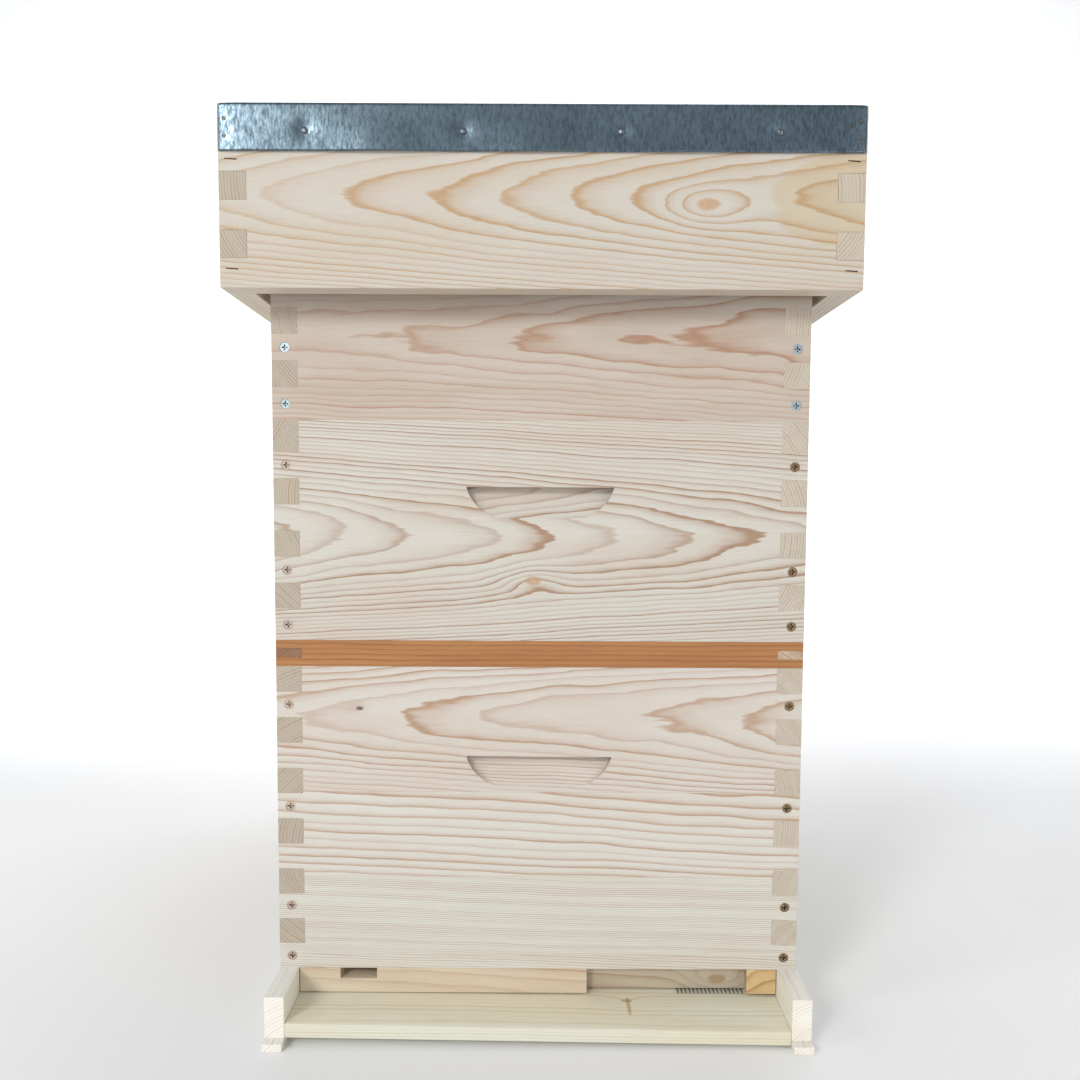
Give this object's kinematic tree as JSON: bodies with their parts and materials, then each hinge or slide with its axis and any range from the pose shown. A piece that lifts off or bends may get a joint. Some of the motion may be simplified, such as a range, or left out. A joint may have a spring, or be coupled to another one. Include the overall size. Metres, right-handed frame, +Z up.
{
  "type": "beehive",
  "caption": "Stacked wooden beehive: bottom board with entrance reducer, brood box, queen excluder, honey supers with hand holds, inner cover and telescoping metal-capped roof.",
  "frame": {"origin": "middle of the footprint, on the ground", "axes": "+Z up, the entrance faces -Y, +X is the hive's right side as seen from the entrance"},
  "size_m": [0.4668, 0.5854, 0.6906],
  "materials": {
    "pine": "planed, unfinished",
    "roof_pine": "planed, unfinished",
    "cedar": "planed, unfinished",
    "floor_wood": "planed, unfinished",
    "reducer_wood": "planed, unfinished",
    "frame_wood": "planed, unfinished",
    "plywood": "sanded plywood",
    "galvanised_sheet": "galvanised, lightly spangled",
    "galvanised_nails": "galvanised",
    "staples": "coated wire",
    "zinc_screws": "bright zinc plate",
    "bronze_screws": "dull bronze plate",
    "wire": "galvanised wire",
    "beeswax": "pressed wax sheet"
  },
  "bodies": {
    "bottom_board": {"floor_rail_left": "floor_wood", "floor_rail_right": "floor_wood", "floor_skid_left": "floor_wood", "floor_skid_right": "floor_wood", "landing_board": "floor_wood", "floor_front_bar": "floor_wood", "floor_rear_bar": "floor_wood", "floor_mesh": "wire", "floor_screws": "bronze_screws"},
    "entrance_reducer": {"entrance_reducer": "reducer_wood"},
    "monitoring_tray": {"monitoring_tray": "plywood", "tray_lip": "floor_wood"},
    "brood_box": {"brood_front_board": "pine", "brood_rear_board": "pine", "brood_left_board": "pine", "brood_right_board": "pine", "brood_screws": "bronze_screws"},
    "brood_frames": {"brood_frame_bottom_bars": "frame_wood", "brood_frame_end_bars": "frame_wood", "brood_frame_foundation": "beeswax", "brood_frame_top_bars": "frame_wood"},
    "queen_excluder": {"excluder_front_rail": "cedar", "excluder_left_rail": "cedar", "excluder_rear_rail": "cedar", "excluder_right_rail": "cedar", "excluder_wire_grid": "wire"},
    "super_1": {"super_1_front_board": "pine", "super_1_rear_board": "pine", "super_1_left_board": "pine", "super_1_right_board": "pine", "super_1_screws": "bronze_screws"},
    "super_1_frames": {"super_1_frame_bottom_bars": "frame_wood", "super_1_frame_end_bars": "frame_wood", "super_1_frame_foundation": "beeswax", "super_1_frame_top_bars": "frame_wood"},
    "super_2": {"super_2_front_board": "pine", "super_2_rear_board": "pine", "super_2_left_board": "pine", "super_2_right_board": "pine", "super_2_screws": "zinc_screws"},
    "super_2_frames": {"super_2_frame_bottom_bars": "frame_wood", "super_2_frame_end_bars": "frame_wood", "super_2_frame_foundation": "beeswax", "super_2_frame_top_bars": "frame_wood"},
    "inner_cover": {"inner_cover_front_rail": "pine", "inner_cover_left_rail": "pine", "inner_cover_panel": "plywood", "inner_cover_rear_rail": "pine", "inner_cover_right_rail": "pine"},
    "roof": {"roof_batten_front": "roof_pine", "roof_batten_rear": "roof_pine", "roof_corner_pins": "galvanised_nails", "roof_deck": "plywood", "roof_front_board": "roof_pine", "roof_left_board": "roof_pine", "roof_nails": "galvanised_nails", "roof_rear_board": "roof_pine", "roof_right_board": "roof_pine", "roof_sheet": "galvanised_sheet", "roof_staples": "staples"}
  },
  "joints": [
    {"name": "reducer_pull", "type": "slide", "parent": "bottom_board", "child": "entrance_reducer", "axis": [0, -1, 0], "range_m": [0, 0.1]},
    {"name": "tray_pull", "type": "slide", "parent": "bottom_board", "child": "monitoring_tray", "axis": [0, 1, 0], "range_m": [0, 0.42]},
    {"name": "brood_box_lift", "type": "slide", "parent": "bottom_board", "child": "brood_box", "axis": [0, 0, 1], "range_m": [0, 0.15]},
    {"name": "brood_frames_lift", "type": "slide", "parent": "brood_box", "child": "brood_frames", "axis": [0, 0, 1], "range_m": [0, 0.25]},
    {"name": "excluder_lift", "type": "slide", "parent": "brood_frames", "child": "queen_excluder", "axis": [0, 0, 1], "range_m": [0, 0.1]},
    {"name": "super_1_lift", "type": "slide", "parent": "queen_excluder", "child": "super_1", "axis": [0, 0, 1], "range_m": [0, 0.15]},
    {"name": "super_1_frames_lift", "type": "slide", "parent": "super_1", "child": "super_1_frames", "axis": [0, 0, 1], "range_m": [0, 0.18]},
    {"name": "super_2_lift", "type": "slide", "parent": "super_1_frames", "child": "super_2", "axis": [0, 0, 1], "range_m": [0, 0.15]},
    {"name": "super_2_frames_lift", "type": "slide", "parent": "super_2", "child": "super_2_frames", "axis": [0, 0, 1], "range_m": [0, 0.18]},
    {"name": "inner_cover_lift", "type": "slide", "parent": "super_2_frames", "child": "inner_cover", "axis": [0, 0, 1], "range_m": [0, 0.1]},
    {"name": "roof_lift", "type": "slide", "parent": "inner_cover", "child": "roof", "axis": [0, 0, 1], "range_m": [0, 0.15]}
  ]
}
